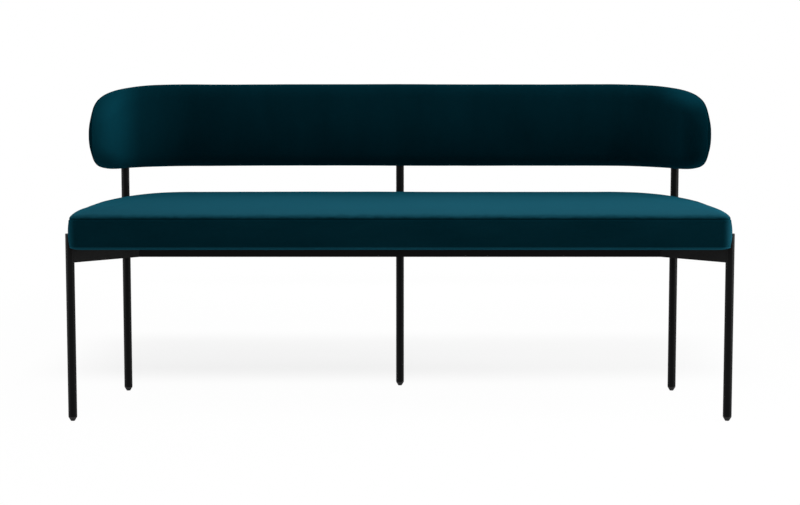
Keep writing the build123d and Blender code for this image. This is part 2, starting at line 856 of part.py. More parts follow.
with BuildPart() as backrest_back_foam:
    add(inner_pad)
    add(ahead_of(bracket_front + cloth_clearance), mode=Mode.SUBTRACT)
    add(tube_channels, mode=Mode.SUBTRACT)
    add(bracket_blank(0, cloth_clearance, overrun), mode=Mode.SUBTRACT)
    add(side_bracket_spaces.part, mode=Mode.SUBTRACT)
    add(
        at_brackets(
            screw_head_radius + cloth_clearance,
            screw_head_height + cloth_clearance - tube_radius,
            screw_head_height + cloth_clearance,
        ),
        mode=Mode.SUBTRACT,
    )
backrest_back_foam.part.label = "backrest_back_foam"
export_step(backrest_back_foam.part, "parts/backrest_back_foam.step")

# Backrest covers: the cloth skin, parted along the seam round its back edge
with BuildPart() as pad_skin:
    add(pad_form(0))
    add(pad_form(cloth_thickness), mode=Mode.SUBTRACT)
    add(tube_channels, mode=Mode.SUBTRACT)
with BuildPart() as backrest_front_cover:
    add(pad_skin.part)
    add(behind(pad_seam), mode=Mode.SUBTRACT)
backrest_front_cover.part.label = "backrest_front_cover"
export_step(backrest_front_cover.part, "parts/backrest_front_cover.step")

with BuildPart() as backrest_back_cover:
    add(pad_skin.part)
    add(ahead_of(pad_seam), mode=Mode.SUBTRACT)
backrest_back_cover.part.label = "backrest_back_cover"
export_step(backrest_back_cover.part, "parts/backrest_back_cover.step")
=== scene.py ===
"""Looks of a long upholstered bench: velvet seat cushion, padded backrest, black steel frame.

Lengths are in metres, X runs along the bench, the front faces -Y, and the floor is at Z = 0.
"""

import json
import logging
import math
from dataclasses import dataclass, field, replace
from enum import Enum

import bmesh
import bpy
import numpy as np
from bpy.types import ID, Material, NodeSocket, Object, bpy_prop_collection
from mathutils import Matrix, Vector, noise


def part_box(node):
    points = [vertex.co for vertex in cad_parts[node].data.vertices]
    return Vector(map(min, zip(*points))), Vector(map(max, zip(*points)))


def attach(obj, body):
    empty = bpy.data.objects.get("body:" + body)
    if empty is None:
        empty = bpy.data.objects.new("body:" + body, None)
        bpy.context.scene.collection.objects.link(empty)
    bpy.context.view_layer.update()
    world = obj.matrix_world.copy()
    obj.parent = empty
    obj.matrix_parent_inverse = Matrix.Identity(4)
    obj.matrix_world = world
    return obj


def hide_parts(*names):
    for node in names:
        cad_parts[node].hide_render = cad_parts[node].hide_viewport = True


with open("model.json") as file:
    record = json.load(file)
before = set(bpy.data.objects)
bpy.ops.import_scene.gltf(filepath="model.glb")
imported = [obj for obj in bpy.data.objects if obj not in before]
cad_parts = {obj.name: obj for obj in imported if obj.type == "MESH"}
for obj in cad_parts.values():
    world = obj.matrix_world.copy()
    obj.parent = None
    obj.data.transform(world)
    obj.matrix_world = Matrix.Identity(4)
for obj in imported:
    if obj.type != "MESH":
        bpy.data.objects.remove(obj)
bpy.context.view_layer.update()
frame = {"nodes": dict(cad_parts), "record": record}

LOG = logging.getLogger("bench")
BODY = "root"
WELD_DISTANCE = 1e-5
QUARTER_TURN = math.pi / 2
NOISE_MIDDLE = 0.5
WAVE_FACTOR = 20

Color = tuple[float, float, float, float]
Triple = tuple[float, float, float]
Span = tuple[float, float]

WHITE: Color = (1.0, 1.0, 1.0, 1.0)


class Side(Enum):
    """End of the bench, as the sign of its X."""

    LEFT = -1
    RIGHT = 1


class Value:
    """A shader socket that Python operators combine through Math nodes."""

    def __init__(self, graph: "Graph", socket: NodeSocket) -> None:
        """Wrap one output socket of a node tree."""
        self.graph = graph
        self.socket = socket

    def _join(self, operation: str, first: object, second: object) -> "Value":
        """Result of one Math node on two values or numbers."""
        return self.graph.node("Math", {"operation": operation}, {0: first, 1: second})

    def __add__(self, other: object) -> "Value":
        """Sum of this value and another."""
        return self._join("ADD", self, other)

    def __radd__(self, other: object) -> "Value":
        """Sum of another value and this one."""
        return self._join("ADD", other, self)

    def __sub__(self, other: object) -> "Value":
        """This value less another."""
        return self._join("SUBTRACT", self, other)

    def __rsub__(self, other: object) -> "Value":
        """Another value less this one."""
        return self._join("SUBTRACT", other, self)

    def __mul__(self, other: object) -> "Value":
        """Product of this value and another."""
        return self._join("MULTIPLY", self, other)

    def __rmul__(self, other: object) -> "Value":
        """Product of another value and this one."""
        return self._join("MULTIPLY", other, self)


@dataclass(frozen=True)
class Grain:
    """Noise of one size: waves to a metre, octaves of finer noise, and their strength."""

    scale: float
    detail: float = 2.0
    rough: float = 0.5


class Graph:
    """Node tree of one material or world, built from short expressions."""

    def __init__(self, owner: ID) -> None:
        """Start an empty tree.

        Args:
            owner: Material or world whose nodes are made here.
        """
        owner.use_nodes = True
        self.tree = owner.node_tree
        self.tree.nodes.clear()

    def node(
        self,
        kind: str,
        settings: dict[str, object] | None = None,
        inputs: dict[str | int, object] | None = None,
        output: str | int = 0,
    ) -> Value:
        """Add a node.

        Args:
            kind: Type name of the node, less its ShaderNode.
            settings: Properties that are set first.
            inputs: Numbers, colours or values for its sockets.
            output: Socket of the result.

        Returns:
            The chosen output socket.
        """
        made = self.tree.nodes.new("ShaderNode" + kind)
        for key, setting in (settings or {}).items():
            setattr(made, key, setting)
        for key, value in (inputs or {}).items():
            if isinstance(value, Value):
                self.tree.links.new(value.socket, made.inputs[key])
            else:
                made.inputs[key].default_value = value
        return Value(self, made.outputs[output] if made.outputs else None)

    def stretched(self, scale: Triple = (1.0, 1.0, 1.0), shift: Triple = (0.0, 0.0, 0.0)) -> Value:
        """Object coordinates, scaled along each axis and then shifted.

        Args:
            scale: Factor along X, Y and Z.
            shift: Move along X, Y and Z.

        Returns:
            The new coordinates.
        """
        place = self.node("TexCoord", output="Object")
        wanted = {"Vector": place, "Location": shift, "Scale": scale}
        return self.node("Mapping", None, wanted)

    def axis(self, place: Value, name: str) -> Value:
        """One coordinate of a place."""
        return self.node("SeparateXYZ", None, {0: place}, name)

    def length(self, place: Value) -> Value:
        """Distance of a place from the origin of its coordinates."""
        return self.node("VectorMath", {"operation": "LENGTH"}, {0: place}, "Value")

    def noise(self, place: Value, grain: Grain) -> Value:
        """Noise of a grain at a place, about 0.5 on average."""
        wanted = {"Scale": grain.scale, "Detail": grain.detail, "Roughness": grain.rough}
        return self.node("TexNoise", None, {"Vector": place, **wanted}, "Fac")

    def climb(self, value: Value, span: Span, full: float = 1.0, smooth: bool = True) -> Value:
        """Add a change from 0 to a full value.

        Args:
            value: Value that drives it.
            span: Where it is 0 and where it is full.
            full: Result at the end of the span.
            smooth: Whether it eases in and out.

        Returns:
            The change at each point.
        """
        settings = {"interpolation_type": "SMOOTHSTEP" if smooth else "LINEAR"}
        wanted = {"Value": value, "From Min": span[0], "From Max": span[1], "To Max": full}
        return self.node("MapRange", settings, wanted)

    def tint(self, level: Value, span: Span, low: Color, high: Color) -> Value:
        """Add a ramp between two colours.

        Args:
            level: Value that picks the colour.
            span: Levels at which each colour is full.
            low: Colour at the first level.
            high: Colour at the second level.

        Returns:
            The colour at each point.
        """
        ramp = self.node("ValToRGB", None, {"Fac": level}, "Color")
        stops = ramp.socket.node.color_ramp.elements
        for stop, position, color in zip(stops, span, (low, high)):
            stop.position, stop.color = position, color
        return ramp

    def bump(self, height: Value, relief: Span) -> Value:
        """Normal bent by a height of about 0 to 1; the relief is strength and depth."""
        wanted = {"Strength": relief[0], "Distance": relief[1], "Height": height}
        return self.node("Bump", None, wanted)

    def surface(self, sockets: dict[str, object]) -> None:
        """Finish the tree with a Principled shader that has the given sockets."""
        shader = self.node("BsdfPrincipled", None, sockets, "BSDF")
        self.node("OutputMaterial", None, {"Surface": shader})


@dataclass(frozen=True)
class Finish:
    """A surface finish that becomes one material."""

    name: str

    def build(self) -> Material:
        """Make the material.

        Returns:
            The new material.
        """
        material = bpy.data.materials.new(self.name)
        self.paint(Graph(material))
        return material

    def paint(self, graph: Graph) -> None:
        """Fill the material's nodes; each finish has its own way."""
        raise NotImplementedError


@dataclass(frozen=True)
class PaintedLightPatch:
    """Painted light: a place painted lighter, standing in for a highlight, sheen or light falling
    there.
    """

    center: Triple
    reach: Triple
    strength: float

    def shade(self, graph: Graph) -> Value:
        """Lift of the colour: full at the centre, none beyond the reach.

        Args:
            graph: Tree to add the nodes to.

        Returns:
            The lift at each point.
        """
        scale = tuple(1 / length for length in self.reach)
        shift = tuple(-place * factor for place, factor in zip(self.center, scale))
        away = graph.length(graph.stretched(scale, shift))
        return graph.climb(away, (1.0, 0.0), self.strength)


@dataclass(frozen=True)
class Velvet(Finish):
    """Short-pile velvet: dark seen straight on, light at a glancing angle, with brushed nap.

    Spans are heights over the seam where painted top light, seam shade and hem highlight start and
    end.
    """

    deep: Color
    lifted: Color
    glow: Color
    brush: Triple
    # Painted light: places painted lighter where highlights and sheen fall.
    painted_light: tuple[PaintedLightPatch, ...] = ()
    panel_painted_light: tuple[PaintedLightPatch, ...] = ()
    panel_seam: float = 0.0
    # Painted light on the top panel.
    top_light_lift: float = 0.0
    # Painted shade along the seam, with the boxing lifted below it.
    boxing_lift_under_seam_shade: float = 0.0
    # Painted highlight on the hem.
    hem_highlight: float = 0.0
    top_light_span: Span = (0.002, 0.013)
    seam_shade_span: Span = (-0.0014, -0.0024)
    hem_highlight_span: Span = (-0.0615, -0.0635)
    seam_sway: float = 0.006
    sway: Grain = Grain(14.0, 3.0)
    sweep: Grain = Grain(1.6, 4.0, 0.6)
    sweep_share: float = 0.6
    cloud: Grain = Grain(5.0)
    nap_swing: float = 0.16
    pile: Grain = Grain(1500.0, 2.0, 0.7)
    pile_share: float = 0.7
    tuft: Grain = Grain(60.0, 3.0)
    tuft_share: float = 0.6
    relief: Span = (0.3, 0.0005)
    roughness: float = 0.95
    nap_gloss: float = 0.1
    fuzz: float = 1.0
    fuzz_roughness: float = 0.6

    def paint(self, graph: Graph) -> None:
        """Brushed nap and painted light and shade in the colour, pile grain in the bump, and the
        pile's own sheen.

        Args:
            graph: Tree to fill.
        """
        place = graph.stretched()
        swept = graph.stretched(self.brush)
        sweep = graph.noise(swept, self.sweep)
        cloud = graph.noise(place, self.cloud)
        nap = sweep * self.sweep_share + cloud * (1 - self.sweep_share)
        lift = (nap - NOISE_MIDDLE) * self.nap_swing
        for patch in self.painted_light:
            lift = lift + patch.shade(graph)
        if self.top_light_lift:
            lift = self.paint_seat_light(graph, lift, graph.axis(place, "Z"), swept)
        mix = {"Factor": lift, "A": self.deep, "B": self.lifted}
        pile = graph.noise(place, self.pile) * self.pile_share
        tuft = graph.noise(swept, self.tuft) * self.tuft_share
        graph.surface({
            "Base Color": graph.node("Mix", {"data_type": "RGBA"}, mix, "Result"),
            "Roughness": self.roughness - nap * self.nap_gloss,
            "Normal": graph.bump(pile + tuft, self.relief),
            "Specular IOR Level": 0.0,
            "Sheen Weight": self.fuzz,
            "Sheen Roughness": self.fuzz_roughness,
            "Sheen Tint": self.glow,
        })

    def paint_seat_light(self, graph: Graph, lift: Value, height: Value, swept: Value) -> Value:
        """Paint light on the top panel, shade along the seam and a highlight on the hem.

        Args:
            graph: Tree to add the nodes to.
            lift: Lift of the colour so far.
            height: Height of the surface.
            swept: Coordinates along the brushed nap.

        Returns:
            The new lift.
        """
        # Painted light on the top panel: an even lift, with more towards its front.
        brushed = self.top_light_lift
        for patch in self.panel_painted_light:
            brushed = brushed + patch.shade(graph)
        wavy = height + (graph.noise(swept, self.sway) - NOISE_MIDDLE) * self.seam_sway
        lift = lift + brushed * self.step(graph, wavy, self.top_light_span, 1.0)
        # Painted shade along the seam: the boxing is lifted only below a thin band under the
        # stitching.
        lift = lift + self.step(graph, height, self.seam_shade_span, self.boxing_lift_under_seam_shade)
        # Painted highlight: a light line along the rolled hem at the bottom edge.
        return lift + self.step(graph, height, self.hem_highlight_span, self.hem_highlight)

    def step(self, graph: Graph, height: Value, span: Span, rise: float) -> Value:
        """Change of tone that starts and ends at a span's heights over the seam."""
        low, high = self.panel_seam + span[0], self.panel_seam + span[1]
        return graph.climb(height, (low, high), rise, smooth=False)


@dataclass(frozen=True)
class HardSkin(Finish):
    """Painted, plated or moulded skin: uneven gloss, and uneven tone where it is clouded."""

    color: Color
    cloud: Grain
    grain: Grain
    relief: Span
    roughness: float
    roughness_swing: float
    clouded: Color | None = None
    levels: Span = (0.0, 1.0)
    specular: float = 0.5
    metallic: float = 0.0

    def paint(self, graph: Graph) -> None:
        """Tone and gloss that follow the clouds, and the grain in the bump.

        Args:
            graph: Tree to fill.
        """
        place = graph.stretched()
        cloud = graph.noise(place, self.cloud)
        tone = self.color
        if self.clouded:
            tone = graph.tint(cloud, self.levels, self.color, self.clouded)
        graph.surface({
            "Base Color": tone,
            "Metallic": self.metallic,
            "Roughness": self.roughness + cloud * self.roughness_swing,
            "Normal": graph.bump(graph.noise(place, self.grain), self.relief),
            "Specular IOR Level": self.specular,
        })


@dataclass(frozen=True)
class Plywood(Finish):
    """Birch plywood: long grain on its faces and plies at its edges."""

    light: Color = (0.6, 0.43, 0.26, 1.0)
    dark: Color = (0.36, 0.22, 0.11, 1.0)
    levels: Span = (0.3, 0.75)
    ply: float = 0.0014
    ply_share: float = 0.3
    fibres: Triple = (2.0, 60.0, 60.0)
    grain: Grain = Grain(3.0, 4.0, 0.6)
    grain_share: float = 0.7
    relief: Span = (0.3, 0.0003)
    roughness: float = 0.6
    roughness_swing: float = 0.15

    def paint(self, graph: Graph) -> None:
        """Grain along the board, with a band for each ply.

        Args:
            graph: Tree to fill.
        """
        grain = graph.noise(graph.stretched(self.fibres), self.grain)
        plies = graph.stretched((0.0, 0.0, 1.0 / (WAVE_FACTOR * self.ply)))
        bands = graph.node("TexWave", {"bands_direction": "Z"}, {"Vector": plies}, "Fac")
        level = grain * self.grain_share + bands * self.ply_share
        graph.surface({
            "Base Color": graph.tint(level, self.levels, self.dark, self.light),
            "Roughness": self.roughness + grain * self.roughness_swing,
            "Normal": graph.bump(grain, self.relief),
        })


@dataclass(frozen=True)
class DustCloth(Finish):
    """Black non-woven cloth with its rows of small bonded dots."""

    color: Color = (0.008, 0.008, 0.009, 1.0)
    pale: Color = (0.03, 0.03, 0.032, 1.0)
    levels: Span = (0.3, 0.9)
    dot_scale: float = 420.0
    dot_scatter: float = 0.15
    dot_share: float = 0.3
    fibre: Grain = Grain(900.0, 3.0, 0.7)
    fibre_share: float = 0.8
    fibre_relief: float = 0.4
    relief: Span = (0.5, 0.0003)
    roughness: float = 0.85
    roughness_swing: float = 0.1
    specular: float = 0.2

    def paint(self, graph: Graph) -> None:
        """Dots in rows over matted fibre.

        Args:
            graph: Tree to fill.
        """
        place = graph.stretched()
        cell = {"Vector": place, "Scale": self.dot_scale, "Randomness": self.dot_scatter}
        dots = graph.node("TexVoronoi", None, cell, "Distance")
        fibre = graph.noise(place, self.fibre)
        level = fibre * self.fibre_share + dots * self.dot_share
        graph.surface({
            "Base Color": graph.tint(level, self.levels, self.color, self.pale),
            "Roughness": self.roughness + fibre * self.roughness_swing,
            "Normal": graph.bump(dots + fibre * self.fibre_relief, self.relief),
            "Specular IOR Level": self.specular,
        })


SEAT_VELVET = Velvet(
    "seat_velvet",
    deep=(0.0001, 0.0056, 0.0082, 1.0),
    lifted=(0.0092, 0.064, 0.093, 1.0),
    glow=(0.003, 0.058, 0.086, 1.0),
    brush=(3.0, 9.0, 9.0),
    # Painted highlights on the cushion's two ends, stronger at the right.
    painted_light=(
        PaintedLightPatch((-0.753, -0.2, 0.435), (0.022, 0.6, 0.08), 0.3),
        PaintedLightPatch((0.755, -0.2, 0.435), (0.028, 0.6, 0.08), 0.75),
    ),
    # Painted light on the top panel, stronger towards its front.
    panel_painted_light=(PaintedLightPatch((0.0, -0.22, 0.5), (3.0, 0.26, 0.3), 0.75),),
    panel_seam=0.466,
    top_light_lift=0.22,
    # Boxing lifted below the painted shade along the seam.
    boxing_lift_under_seam_shade=0.03,
    # Painted highlight on the hem.
    hem_highlight=0.28,
)
FRONT_COVER = Velvet(
    "backrest_velvet",
    deep=(0.0001, 0.0046, 0.0069, 1.0),
    lifted=(0.003, 0.053, 0.078, 1.0),
    glow=(0.002, 0.044, 0.066, 1.0),
    brush=(9.0, 9.0, 3.0),
    # Painted light: the upper part lighter than the lower, a painted sheen band on the left end,
    # and a painted highlight at the upper right corner.
    painted_light=(
        PaintedLightPatch((0.0, 0.2, 0.73), (4.0, 4.0, 0.17), 0.06),
        PaintedLightPatch((-0.702, 0.1, 0.67), (0.065, 0.5, 0.3), 0.38),
        PaintedLightPatch((-0.69, 0.1, 0.67), (0.2, 0.5, 0.3), 0.1),
        PaintedLightPatch((0.7, 0.08, 0.745), (0.09, 0.2, 0.05), 0.26),
    ),
)
BACK_COVER = replace(
    FRONT_COVER,
    name="backrest_back_velvet",
    deep=(0.0001, 0.006, 0.0088, 1.0),
    painted_light=(),
    fuzz=0.38,
)
POWDER_COAT = HardSkin(
    "black_powder_coat",
    color=(0.0006, 0.0006, 0.0007, 1.0),
    clouded=(0.0012, 0.0012, 0.0013, 1.0),
    levels=(0.35, 0.7),
    cloud=Grain(14.0, 3.0),
    grain=Grain(900.0),
    relief=(0.25, 0.0002),
    roughness=0.38,
    roughness_swing=0.12,
    specular=0.075,
)
CAP_PLASTIC = HardSkin(
    "leg_cap_plastic",
    color=(0.006, 0.006, 0.0065, 1.0),
    clouded=(0.018, 0.018, 0.0195, 1.0),
    levels=(0.45, 0.8),
    cloud=Grain(60.0, 4.0, 0.6),
    grain=Grain(2200.0, 3.0, 0.65),
    relief=(0.4, 0.0002),
    roughness=0.5,
    roughness_swing=0.2,
    specular=0.25,
)
GLIDE_PLASTIC = replace(
    CAP_PLASTIC,
    name="foot_glide_plastic",
    color=(0.004, 0.004, 0.0044, 1.0),
    clouded=(0.012, 0.012, 0.0132, 1.0),
)
ZINC_PLATE = HardSkin(
    "zinc_plated_steel",
    color=(0.52, 0.53, 0.55, 1.0),
    cloud=Grain(180.0, 3.0),
    grain=Grain(2600.0),
    relief=(0.2, 0.0001),
    roughness=0.26,
    roughness_swing=0.2,
    metallic=1.0,
)
FINISHES: dict[str, Finish] = {
    "frame_black": POWDER_COAT,
    "cap_plastic": CAP_PLASTIC,
    "glide_plastic": GLIDE_PLASTIC,
    "zinc_steel": ZINC_PLATE,
    "plywood": Plywood("birch_plywood"),
    "velvet_seat": SEAT_VELVET,
    "velvet_back": FRONT_COVER,
    "dust_cloth": DustCloth("dust_cover_cloth"),
}


def stand(name: str, data: ID) -> Object:
    """Make an object from its data and put it in the scene.

    Args:
        name: Name of the new object.
        data: Its mesh, lamp or camera.

    Returns:
        The new object.
    """
    made = bpy.data.objects.new(name, data)
    bpy.context.scene.collection.objects.link(made)
    return made


def read(elements: bpy_prop_collection, name: str) -> np.ndarray:
    """Read a vector of each of a mesh's elements.

    Args:
        elements: Vertices, normals or polygons of the mesh.
        name: Name of the vector.

    Returns:
        The vectors, one to a row.
    """
    values = np.empty(len(elements) * 3)
    elements.foreach_get(name, values)
    return values.reshape(-1, 3)


def move(piece: Object, points: np.ndarray) -> None:
    """Put a mesh's vertices at new points, one to a row."""
    piece.data.vertices.foreach_set("co", points.ravel())
    piece.data.update()


def push(piece: Object, amounts: np.ndarray) -> None:
    """Move a mesh's vertices outward along their normals, each by its own amount."""
    normals = read(piece.data.vertex_normals, "vector")
    move(piece, read(piece.data.vertices, "co") + normals * amounts[:, None])


def closed_form(name: str, rings: list[np.ndarray]) -> Object:
    """Make a closed mesh from rings of points, each joined to the next.

    Args:
        name: Name of the new piece.
        rings: Point rings of equal length; the first and last collapse on themselves.

    Returns:
        The new object, with faces turned outward.
    """
    count = len(rings[0])
    points = np.concatenate(rings)
    faces = []
    for here in range(0, len(points) - count, count):
        for step in range(count):
            after = (step + 1) % count
            faces.append((here + step, here + after, here + count + after, here + count + step))
    mesh = bpy.data.meshes.new(name)
    mesh.from_pydata(points.tolist(), [], faces)
    form = bmesh.new()
    form.from_mesh(mesh)
    bmesh.ops.remove_doubles(form, verts=form.verts, dist=WELD_DISTANCE)
    bmesh.ops.dissolve_degenerate(form, edges=form.edges, dist=WELD_DISTANCE)
    bmesh.ops.recalc_face_normals(form, faces=form.faces)
    form.to_mesh(mesh)
    form.free()
    mesh.shade_smooth()
    return stand(name, mesh)


def spaced(points: np.ndarray, stops: np.ndarray) -> np.ndarray:
    """Read a line of points at given distances along it.

    Args:
        points: Closely spaced points of the line, one to a row.
        stops: Distances from its start, as shares of its length.

    Returns:
        The points at those distances.
    """
    steps = np.linalg.norm(np.diff(points, axis=0), axis=1)
    along = np.concatenate([[0.0], np.cumsum(steps)])
    at = stops * along[-1]
    return np.stack([np.interp(at, along, points[:, axis]) for axis in range(points.shape[1])], 1)


def settle(piece: Object, material: Material) -> None:
    """Smooth a new piece, and give it its material and its body.

    Args:
        piece: The piece, in its place.
        material: Material that it wears.
    """
    smooth = piece.modifiers.new("smooth", "SUBSURF")
    smooth.levels = smooth.render_levels = 1
    piece.data.materials.clear()
    piece.data.materials.append(material)
    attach(piece, BODY)


@dataclass(frozen=True)
class Unevenness:
    """Smooth random relief of cloth over foam: wave sizes, the seed's shift, and height."""

    sizes: Triple
    seed: float
    height: float

    def over(self, points: np.ndarray) -> np.ndarray:
        """Height of the relief at points, one to a row."""
        scaled = points / np.array(self.sizes) + self.seed
        return self.height * np.array([noise.noise(Vector(point)) for point in scaled])


@dataclass
class Stance:
    """Places of the front legs, read from the frame."""

    radius: float = field(init=False)
    front: dict[Side, Vector] = field(init=False)
    front_top: float = field(init=False)

    def __post_init__(self) -> None:
        """Measure the two front legs."""
        self.front = {}
        for side in Side:
            low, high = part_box(f"front_leg_{side.name.lower()}")
            self.front[side] = (low + high) / 2
            self.radius = (high.x - low.x) / 2
        self.front_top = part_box("front_leg_left_cap")[1].z


@dataclass
class SeatCushion:
    """Boxed seat cushion: crowned top panel sewn to a band round its sides."""

    side_swell: float = 0.0006
    side_draw_in: float = 0.0045
    front_draw_in: float = 0.003
    front_radius: float = 0.023
    rear_radius: float = 0.232
    rear_corner_run: float = 0.25
    rear_tuck_share: float = 0.7
    rear_tuck_reach: float = 0.41
    rear_tuck_fade: float = 0.17
    rear_corner_fade: float = 0.07
    rear_flare: float = 0.003
    corner_growth_share: float = 0.5
    seam_height: float = 0.069
    seam_draw_in: float = 0.0029
    bottom_draw_in: float = 0.002
    bottom_rounding: float = 0.012
    hem_height: float = 0.0042
    hem_width: float = 0.0017
    hem_rise: float = 0.0022
    shoulder_rise: float = 0.0139
    shoulder_reach: float = 0.03
    crown_rise: float = 0.0301
    crown_reach: float = 0.24
    crown_power: float = 2.5
    crown_inset: float = 0.215
    flange_width: float = 0.037
    flange_insets: tuple[float, ...] = (0.03, 0.016)
    dust_cover_recess: float = 0.0018
    recess_inset: float = 0.12
    recess_margin: float = 0.02
    recess_slope: float = 0.0004
    groove_depth: float = 0.0022
    groove_width: float = 0.003
    groove_power: float = 1.6
    groove_side_share: float = 0.3
    lip_height: float = 0.0006
    lip_place: float = 0.0034
    lip_width: float = 0.0013
    notch_clearance: float = 0.0005
    front_points: int = 64
    corner_points: int = 10
    side_near_share: float = 0.2
    side_near_points: int = 22
    side_far_points: int = 11
    rear_corner_points: int = 36
    rear_points: int = 44
    rounding_rings: int = 14
    boxing_rings: int = 12
    shoulder_rings: int = 8
    crown_rings: int = 19
    middle_shares: Triple = (0.34, 0.67, 1.0)
    boxing_reach: float = 0.012
    below_seam: tuple[float, ...] = (
        0.0095, 0.0075, 0.006, 0.005, 0.0042, 0.0034, 0.0026, 0.0018, 0.001, 0.0004, 0.0,
    )
    above_seam: tuple[float, ...] = (
        0.0004, 0.001, 0.0018, 0.0026, 0.0036, 0.005, 0.007, 0.0095, 0.012,
    )
    broad: Unevenness = Unevenness((0.22, 0.16, 0.08), 3.7, 0.0009)
    small: Unevenness = Unevenness((0.05, 0.05, 0.03), 11.3, 0.00025)
    pucker: Unevenness = Unevenness((0.018, 0.018, 0.05), 23.1, 0.0004)
    pucker_reach: float = 0.012
    soften_fade: float = 0.02

    def __post_init__(self) -> None:
        """Read the cushion's place from the frame."""
        low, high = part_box("seat_boxing")
        self.half_width = (high.x - low.x) / 2 + self.side_swell
        self.front = low.y
        self.rear = high.y
        self.bottom = low.z
        self.seam = self.bottom + self.seam_height
        self.flange = self.bottom_rounding + self.flange_width

    def outline(self, inset: float, groove: float = 0.0) -> np.ndarray:
        """Ring of plan points at an inset from the widest outline.

        Args:
            inset: Distance inside the widest outline.
            groove: Further inset, full at the front and back and shallow at the ends.

        Returns:
            X and Y of each point, from the middle of the front, round the right end.
        """
        half_width = self.half_width - inset - groove * self.groove_side_share
        drawn_width = half_width - self.side_draw_in
        front, rear = self.front + inset + groove, self.rear - inset - groove
        depth = rear - front
        front_radius = min(self.front_radius + inset * self.corner_growth_share, depth / 2)
        rear_radius = min(self.rear_radius - inset, depth - front_radius)
        rear_run = self.rear_corner_run - inset
        front_x, rear_x = half_width - front_radius, drawn_width - rear_run
        along = np.linspace(0, 1, self.front_points)
        dip = self.front_draw_in * (1 - along**2)
        front_line = np.stack([front_x * along, front + dip], 1)
        turn = np.linspace(0, QUARTER_TURN, self.corner_points + 1)[1:]
        front_corner = np.stack([
            front_x + front_radius * np.sin(turn),
            front + front_radius * (1 - np.cos(turn)),
        ], 1)
        near = np.linspace(0, self.side_near_share, self.side_near_points)
        far = np.linspace(self.side_near_share, 1, self.side_far_points)
        share = np.concatenate([near, far[1:]])[1:]
        side_front, side_rear = front + front_radius, rear - rear_radius
        side = np.stack([
            half_width - self.side_draw_in * share,
            side_front + (side_rear - side_front) * share,
        ], 1)
        turn = np.linspace(0, QUARTER_TURN, self.rear_corner_points + 1)[1:]
        rear_corner = np.stack([
            rear_x + rear_run * np.cos(turn),
            side_rear + rear_radius * np.sin(turn),
        ], 1)
        along = np.linspace(1, 0, self.rear_points)[1:]
        rear_line = np.stack([rear_x * along, np.full(len(along), rear)], 1)
        half = np.concatenate([front_line, front_corner, side, rear_corner, rear_line])
        mirrored = half[-2:0:-1] * (-1, 1)
        return np.concatenate([half, mirrored])

    def boxing_levels(self) -> list[Triple]:
        """Inset, groove and height of the rings from the flange up to the seam.

        Returns:
            Inset, groove and height of each ring, upward.
        """
        levels = []
        for angle in np.linspace(0, QUARTER_TURN, self.rounding_rings)[:-1]:
            rise = self.bottom_rounding * (1 - math.cos(angle))
            inset = self.bottom_draw_in + self.bottom_rounding * (1 - math.sin(angle))
            levels.append((inset - self.hem(rise), 0.0, self.bottom + rise))
        rise = self.seam - (self.bottom + self.bottom_rounding)
        spread = np.linspace(rise, self.boxing_reach, self.boxing_rings)
        for drop in [*spread, *self.below_seam]:
            share = 1 - drop / rise
            lean = self.bottom_draw_in if share < 0.5 else self.seam_draw_in
            inset = lean * (2 * share - 1) ** 2 - self.hem(rise + self.bottom_rounding - drop)
            lip = math.exp(-(((drop - self.lip_place) / self.lip_width) ** 2))
            levels.append((inset - self.lip_height * lip, self.groove(drop), self.seam - drop))
        return levels

    def hem(self, rise: float) -> float:
        """Bulge of the rolled hem at a height above the underside."""
        return self.hem_rise * math.exp(-(((rise - self.hem_height) / self.hem_width) ** 2))

    def groove(self, distance: float) -> float:
        """Depth of the seam's groove at a distance from the stitching."""
        return self.groove_depth * max(0.0, 1 - distance / self.groove_width) ** self.groove_power

    def crown_height(self, edge: float) -> float:
        """Rise of the crown at a distance from the seam line's plan."""
        reach = min(edge, self.crown_reach) / self.crown_reach
        return self.crown_rise * (1 - (1 - reach) ** self.crown_power)

    def crown_levels(self) -> list[Triple]:
        """Inset, groove and height of the rings above the seam.

        Returns:
            Inset, groove and height of each ring, upward.
        """
        levels = []
        angles = [distance / self.shoulder_rise for distance in self.above_seam]
        angles += list(np.linspace(angles[-1], QUARTER_TURN, self.shoulder_rings)[1:])
        for angle in angles:
            edge = self.shoulder_reach * (1 - math.cos(angle))
            groove = self.groove(angle * self.shoulder_rise)
            height = self.seam + self.shoulder_rise * math.sin(angle) + self.crown_height(edge)
            levels.append((self.seam_draw_in + edge, groove, height))
        for edge in np.linspace(self.shoulder_reach, self.crown_inset, self.crown_rings)[1:]:
            height = self.seam + self.shoulder_rise + self.crown_height(edge)
            levels.append((self.seam_draw_in + edge, 0.0, height))
        return levels

    def middle_rings(self, inset: float, height: float, top: bool) -> list[np.ndarray]:
        """Rings that close a flat middle onto its centre line.

        Args:
            inset: Inset of the last ring outside it.
            height: Height of that ring.
            top: Whether it is the crown, which still rises a little.

        Returns:
            Rings inward, the last collapsed on the centre line.
        """
        outer = self.outline(inset)
        middle, half_depth = (self.front + self.rear) / 2, (self.rear - self.front) / 2
        end = self.half_width - half_depth
        center = np.stack([np.clip(outer[:, 0], -end, end), np.full(len(outer), middle)], 1)
        rings = []
        for share in self.middle_shares:
            plan = outer + (center - outer) * share
            edge = inset - self.seam_draw_in + share * (half_depth - inset)
            if top:
                height = self.seam + self.shoulder_rise + self.crown_height(edge)
            rings.append(np.column_stack([plan, np.full(len(plan), height)]))
        return rings

